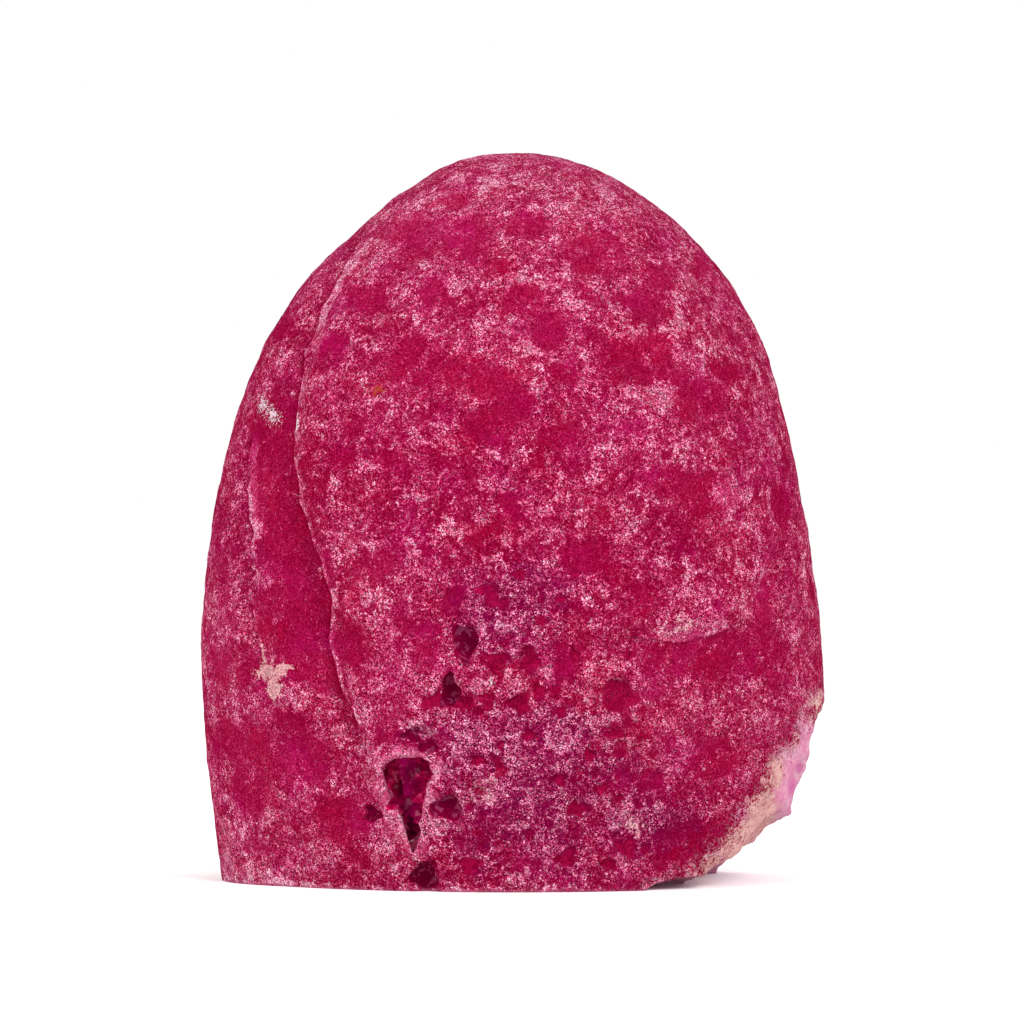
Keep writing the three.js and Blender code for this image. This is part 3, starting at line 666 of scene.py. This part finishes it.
def seen(red, green, blue):
    """A colour as it looks on the lit stone, 0 to 255, as the shader's own colour."""
    channels = [c / 255 / 12.92 if c <= 10 else ((c / 255 + 0.055) / 1.055) ** 2.4 for c in (red, green, blue)]
    return (*(LIGHT * c for c in channels), 1)


material = bpy.data.materials.new("agate")
material.use_nodes = True
Tone.tree = material.node_tree
for old in list(material.node_tree.nodes):
    material.node_tree.nodes.remove(old)

where = Tone.node("ShaderNodeTexCoord", out="Object")
where = Tone.node("ShaderNodeVectorMath", {"operation": "SCALE"}, {0: where, "Scale": 1 / MM})


def mottle(per_mm, detail=2.0, rough=0.5, twist=0.0):
    """Noise about 0, from about -0.5 to 0.5."""
    inputs = {"Vector": where, "Scale": per_mm, "Detail": detail, "Roughness": rough, "Distortion": twist}
    return Tone.node("ShaderNodeTexNoise", {}, inputs, out="Fac") - 0.5


bends = Tone.node("ShaderNodeTexNoise", {}, {"Vector": where, "Scale": 0.9, "Detail": 2}, out="Color")
bends = Tone.node("ShaderNodeVectorMath", {"operation": "SUBTRACT"}, {0: bends, 1: (0.5, 0.5, 0.5)})
bends = Tone.node("ShaderNodeVectorMath", {"operation": "SCALE"}, {0: bends, "Scale": 1.6})
crooked = Tone.node("ShaderNodeVectorMath", {}, {0: where, 1: bends})


def grains(per_mm):
    """A random value about 0 for each angular grain."""
    colour = Tone.node("ShaderNodeTexVoronoi", {}, {"Vector": crooked, "Scale": per_mm}, out="Color")
    return Tone.node("ShaderNodeSeparateColor", {}, {0: colour}) - 0.5


broad = mottle(0.07, 2)
coarse_grain = grains(0.5)
fine_grain = grains(1.3)
tiny_grain = grains(2.7)
wall_grain = grains(0.8)
patch = mottle(0.24, 3, 0.75)
lace = mottle(0.62, 2, 0.8, 0.8)
fleck = mottle(1.6, 2, 0.8, 1.0)
dust = mottle(4.2, 2, 0.8, 0.8)
glassy = mottle(4, 2, 0.8, 0.8)

threads = (1 - mottle(1.2, 1, 0.6).sum("ABSOLUTE") * 14).at_least(0)
pale_web = (1 - mottle(0.55, 3, 0.7).sum("ABSOLUTE") * 22).at_least(0)
skin_edge = marked("smooth") * 1.15 + marked("hollow") * 0.9 + marked("pit") * 0.8 + patch * 0.9 + lace * 0.7
skin_edge = skin_edge + (coarse_grain + fine_grain * 0.3).step(0.3, 0.45) * 0.5
smooth_area = skin_edge.step(0.3, 0.75)
paleness = marked("pale") + patch * 2 + lace * 2 + fleck
crest_gap = marked("crest_gap") + lace * 0.6 + fleck * 0.5
crest_line = crest_gap.step(-0.35, 0.1) * (1 - (crest_gap - marked("crest_wide") * 1.2).step(0.2, 1))
crest_line = crest_line * marked("crest_pale") * (patch + lace * 0.8).step(-0.2, 0.08)
other_line = 1 - (marked("other_gap") + lace + fleck * 0.6).step(0.1, 0.5)
# Painted shade: a darker band beside each ledge's crest, on the side that steps down.
crest_shade = crest_gap.step(-1.3, -0.5) * (1 - crest_gap.step(-0.45, -0.1)) * marked("crest_pale")
lip_gap = marked("mouth_gap") + patch * 9 + lace * 4 + fleck * 3
lip_rim = 1 - (marked("mouth_gap") + patch * 5 + lace * 2 + fleck).step(0.3, 0.7)
lip_line = (1 - lip_gap.step(0.5, 1.0)).at_least(lip_rim)
worn_edge = (marked("edge_wear") + patch * 2.5 + lace * 1.5 + fleck).step(0.6, 0.9)
clusters = (lace * 1.4 + patch * 1.3 + fleck * 0.9 + fine_grain * 0.14).step(0.03, 0.13) * (1 - smooth_area)
flakes = (lace * 1.5 + patch * 0.8 + wall_grain * 0.1 + paleness * 0.04).step(0.12, 0.19) * (1 - smooth_area)

# How thickly the pale grains lie, raised by the painted light and lowered by the painted shade.
density = (
    0.45
    + marked("place_pale") * 0.16
    + patch * 2.65
    + lace * 1.9
    + fleck * 0.7
    + coarse_grain * 0.35
    + fine_grain * 0.3
    + marked("web") * 0.2
    + marked("pit_web") * 0.45
    + paleness.step(0.3, 1) * 0.5
    - smooth_area * 0.7
)
density = density.at_least(0.03).at_most(1.15)

# The tone, from the darkest dye at 0.15 to chalky white at 1. It also carries painted light and shade.
tone = (
    0.317
    + broad * 0.25
    + marked("place_pale") * 0.075
    + density * 0.07
    + clusters * 0.112
    + flakes * 0.107
    + (0.15 + density) * (threads * 0.13 + pale_web * 0.11)
    + coarse_grain * 0.06
    + fine_grain * (0.05 + density * 0.09)
    + tiny_grain * (0.12 + density * 0.09)
    + fleck * (0.06 + density * 0.06)
    + dust * (1.5 + density * 2.8 - lip_line * 1.2)
    + lip_line * fleck * 1.2
    + paleness.step(0.4, 1) * 0.16
    + crest_line * (0.3 + dust * 0.6)
    + other_line * 0.12
    + lip_line * 0.38
    + worn_edge * 0.3
    + marked("face_wear") * 0.12
    - crest_shade * 0.16
    - marked("purple") * (0.05 - coarse_grain * 0.12)
    - smooth_area * 0.02
)
DYE = [
    (0.15, seen(132, 0, 42)),
    (0.98, seen(252, 205, 222)),
    (0.254, seen(146, 4, 53)),
    (0.374, seen(159, 15, 65)),
    (0.4625, seen(171, 27, 77)),
    (0.5375, seen(184, 41, 91)),
    (0.6155, seen(200, 61, 110)),
    (0.692, seen(219, 88, 136)),
    (0.782, seen(240, 122, 166)),
    (0.887, seen(253, 158, 195)),
]
tone = tone - (tone - 0.62).at_least(0) * 0.4
rind_colour = Tone.node("ShaderNodeValToRGB", {"stops": DYE}, {"Fac": tone})
hue = mottle(0.13, 4, 0.7)
rind_colour = mixed(hue.step(0, 0.25) * 0.28, rind_colour, seen(196, 16, 112))
rind_colour = mixed(hue.step(-0.02, -0.2) * 0.3, rind_colour, seen(178, 10, 40))
purple_share = (marked("purple") + patch + coarse_grain * 0.5).step(0.1, 1) * 0.6 * (1 - tone.step(0.5, 0.75))
rind_colour = mixed(purple_share, rind_colour, seen(112, 4, 66))
cream_share = (marked("cream") + patch + lace * 1.6 + fleck * 1.5 + tiny_grain * 0.2).step(0.5, 0.75)
rind_cream = mixed(fleck.step(-0.1, 0.1), seen(226, 150, 156), seen(248, 196, 196))
rind_colour = mixed(cream_share * 0.85, rind_colour, rind_cream)
pale_places = (marked("pale").at_least(marked("cream")) + lip_line * 0.8).step(0.35, 1)
specks = (dust + fleck * 0.6 + tiny_grain * 0.15).step(0.09, 0.16) * pale_places * 0.85
rind_colour = mixed(specks, rind_colour, seen(96, 6, 50))
rust_share = (marked("rust") + fleck * 2 + tiny_grain * 0.5).step(0.5, 0.8)
rind_colour = mixed(rust_share * 0.75, rind_colour, seen(180, 70, 30))
# Painted highlights: the rind is turned near-white at the glints, which also get a coat.
painted_glint_share = (marked("glint") * 0.78 + dust * 1.2 + fleck * 1.6 + tiny_grain * 0.2).step(0.58, 0.74)
rind_colour = mixed(painted_glint_share * 0.85, rind_colour, seen(238, 212, 224))
hollow_share = (marked("hollow") + lace * 1.6 + fleck * 1.2).step(0.35, 0.8)
pit_share = (marked("pit") * 0.9 + lace * 1.6 + fleck * 1.2).step(0.4, 0.9) * 0.6
deep_share = (wall_grain + fine_grain * 0.5 + fleck).step(0.2, 0.5) * 0.6
deep_colour = mixed(deep_share, seen(118, 0, 46), seen(180, 76, 122))
shallow_colour = mixed(lace.step(-0.1, 0.1), seen(140, 4, 50), seen(166, 12, 66))
pit_colour = mixed(marked("deep_hollow").step(0.2, 0.6), shallow_colour, deep_colour)
rind_colour = mixed(pit_share.at_least(hollow_share * 0.92), rind_colour, pit_colour)
brightness = 1 + glassy * (2 + density * 4)
rind_colour = Tone.node("ShaderNodeVectorMath", {"operation": "SCALE"}, {0: rind_colour, "Scale": brightness})

# The vug's walls: dark maroon, with magenta down the ridge and a few pink faces high on the left.
vug_colour = mixed((wall_grain + lace).step(-0.3, 0.5), seen(160, 2, 66), seen(222, 14, 98))
vug_colour = mixed((marked("ridge") + lace * 0.6).step(0.1, 0.55) * 0.7, vug_colour, seen(218, 10, 122))
pink_facets = (wall_grain + fine_grain * 0.3 + lace * 0.5).step(0.4, 0.55) * 0.5
vug_colour = mixed(pink_facets, vug_colour, seen(255, 150, 190))
vug_colour = mixed(marked("vug_tip"), vug_colour, seen(104, 2, 44))

# The broken corner: cream with dark grains near the rind, pink beyond it, and magenta where it is clear.
chip_colour = mixed((patch + lace * 0.5).step(-0.15, 0.15), seen(236, 146, 184), seen(244, 184, 206))
chip_colour = mixed((marked("chip_magenta") + lace * 0.6).step(0.35, 1) * 0.7, chip_colour, seen(228, 104, 176))
cream = mixed((lace + fleck).step(-0.15, 0.15), seen(222, 152, 154), seen(246, 194, 188))
chip_colour = mixed((marked("chip_cream") + patch + lace * 0.6).step(0.3, 0.8), chip_colour, cream)
chip_in = marked("chip_depth") + tiny_grain * 0.7 + fine_grain * 0.8
chip_flecks = (tiny_grain + fleck * 4 + dust * 2 - chip_in * 0.09).step(0.3, 0.45) * (1 - chip_in.step(4, 8))
chip_colour = mixed(chip_flecks * 0.9, chip_colour, seen(112, 12, 42))
chip_share = (chip_in * 0.3 - 0.6 + lace * 2.5 + fleck * 6 + tiny_grain * 0.7 + dust * 3).step(-0.3, 0.3)
chip_share = chip_share * (1 - marked("rind_far"))

# The saw cuts: bands that follow the rind inwards, then clear rose stone and a sugary core.
inward = marked("depth_in") + mottle(0.055, 2) * 9 + mottle(0.3, 2) * 1.6
band_widths = {"W": inward, "Scale": 0.55, "Detail": 5, "Roughness": 0.62}
banding = Tone.node("ShaderNodeTexNoise", {"noise_dimensions": "1D"}, band_widths, out="Fac")
BANDS = [
    (0.32, seen(92, 0, 44)),
    (0.7, seen(254, 232, 240)),
    (0.4, seen(140, 2, 68)),
    (0.45, seen(180, 8, 92)),
    (0.49, seen(204, 26, 112)),
    (0.52, seen(226, 96, 156)),
    (0.55, seen(190, 14, 98)),
    (0.6, seen(238, 160, 196)),
]
cut_colour = Tone.node("ShaderNodeValToRGB", {"stops": BANDS}, {"Fac": banding + inward * 0.0035 - 0.03})
core = inward.step(24, 27)
sugar = fine_grain * 0.8 + coarse_grain * 0.5 + lace * 0.8 + patch
core_colour = mixed(sugar.step(-0.4, 0.5), seen(176, 20, 96), seen(240, 168, 198))
cut_colour = mixed(core, cut_colour, core_colour)
cut_colour = mixed(1 - (marked("depth_in") + lace).step(0.5, 1.6), cut_colour, seen(120, 4, 50))
base_colour = mixed(0.4 + dust * 0.4, cut_colour, seen(226, 130, 166))

stone_colour = mixed(chip_share, rind_colour, chip_colour)
stone_colour = mixed((marked("mouth_gap") + fleck * 0.15).step(0.05, -0.12), stone_colour, vug_colour)
stone_colour = mixed(marked("face"), stone_colour, cut_colour)
stone_colour = mixed(marked("base"), stone_colour, base_colour)

in_vug_share = marked("mouth_gap").step(0, -0.3)
RIND_ROUGHNESS = 0.75
FACE_ROUGHNESS = 0.12
roughness = RIND_ROUGHNESS - smooth_area * 0.15 + fleck * 0.3
roughness = roughness * (1 - marked("face")) + marked("face") * FACE_ROUGHNESS
coat = marked("face") * 0.6 + in_vug_share * 0.5 + painted_glint_share * 0.6
height = (fleck * 0.6 + dust * 0.5 + lace * 0.5) * (1 - marked("face"))
height = height * (1 - smooth_area * 0.6) * (1 - in_vug_share)
bump = Tone.node("ShaderNodeBump", {}, {"Height": height, "Strength": 0.8, "Distance": 0.5 * MM})
skin = Tone.node(
    "ShaderNodeBsdfPrincipled",
    {},
    {
        "Base Color": stone_colour,
        "Roughness": roughness,
        "Coat Weight": coat,
        "Normal": bump,
        "Specular IOR Level": 0,
        "Specular Tint": (1, 0.05, 0.2, 1),
        "Coat Roughness": 0.08,
        "Coat IOR": 1.33,
    },
)
Tone.node("ShaderNodeOutputMaterial", {}, {"Surface": skin})

SHARP_FROM = math.radians(38)
stone.data.materials.clear()
stone.data.materials.append(material)
bpy.ops.object.select_all(action="DESELECT")
stone.select_set(True)
bpy.context.view_layer.objects.active = stone
bpy.ops.object.shade_smooth_by_angle(angle=SHARP_FROM)
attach(stone, "root")
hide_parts("agate")

# ---- The set ----
# A plain white floor that runs on under a white sky, two large soft lights, and the camera.

FLOOR_SIZE = 200
bpy.ops.mesh.primitive_plane_add(size=FLOOR_SIZE, location=(0, 0, 0))
floor = bpy.context.object
floor.name = "floor"
paper = bpy.data.materials.new("floor")
paper.use_nodes = True
paper_skin = paper.node_tree.nodes["Principled BSDF"]
paper_skin.inputs["Base Color"].default_value = (1, 1, 1, 1)
paper_skin.inputs["Roughness"].default_value = 1
paper_skin.inputs["Specular IOR Level"].default_value = 0
floor.data.materials.append(paper)

world = bpy.data.worlds.new("white room")
world.use_nodes = True
world.node_tree.nodes["Background"].inputs["Color"].default_value = (1, 1, 1, 1)
world.node_tree.nodes["Background"].inputs["Strength"].default_value = 1.0
bpy.context.scene.world = world

MIDDLE = Vector((0, 0, 0.06))
LIGHTS = [
    ("key", (0.55, -0.75, 0.6), 0.5, 8.5),
    ("fill", (-0.8, -0.5, 0.4), 0.8, 6.5),
]
for name, place, size, power in LIGHTS:
    lamp = bpy.data.lights.new(name, "AREA")
    lamp.size = size
    lamp.energy = power
    holder = bpy.data.objects.new(name, lamp)
    holder.location = place
    holder.rotation_euler = (Vector(place) - MIDDLE).to_track_quat("Z", "Y").to_euler()
    bpy.context.scene.collection.objects.link(holder)

CAMERA_AT = (-0.00014, -0.8909, 0.0607)
SENSOR_WIDTH = 36  # mm
FOCAL_LENGTH = 191.76  # mm
lens = bpy.data.cameras.new("camera")
lens.sensor_width = SENSOR_WIDTH
lens.lens = FOCAL_LENGTH
lens.clip_start = 0.05
lens.clip_end = 500
camera = bpy.data.objects.new("camera", lens)
camera.location = CAMERA_AT
camera.rotation_euler = (math.radians(90), 0, 0)
bpy.context.scene.collection.objects.link(camera)
bpy.context.scene.camera = camera
bpy.context.scene.view_settings.view_transform = "Standard"
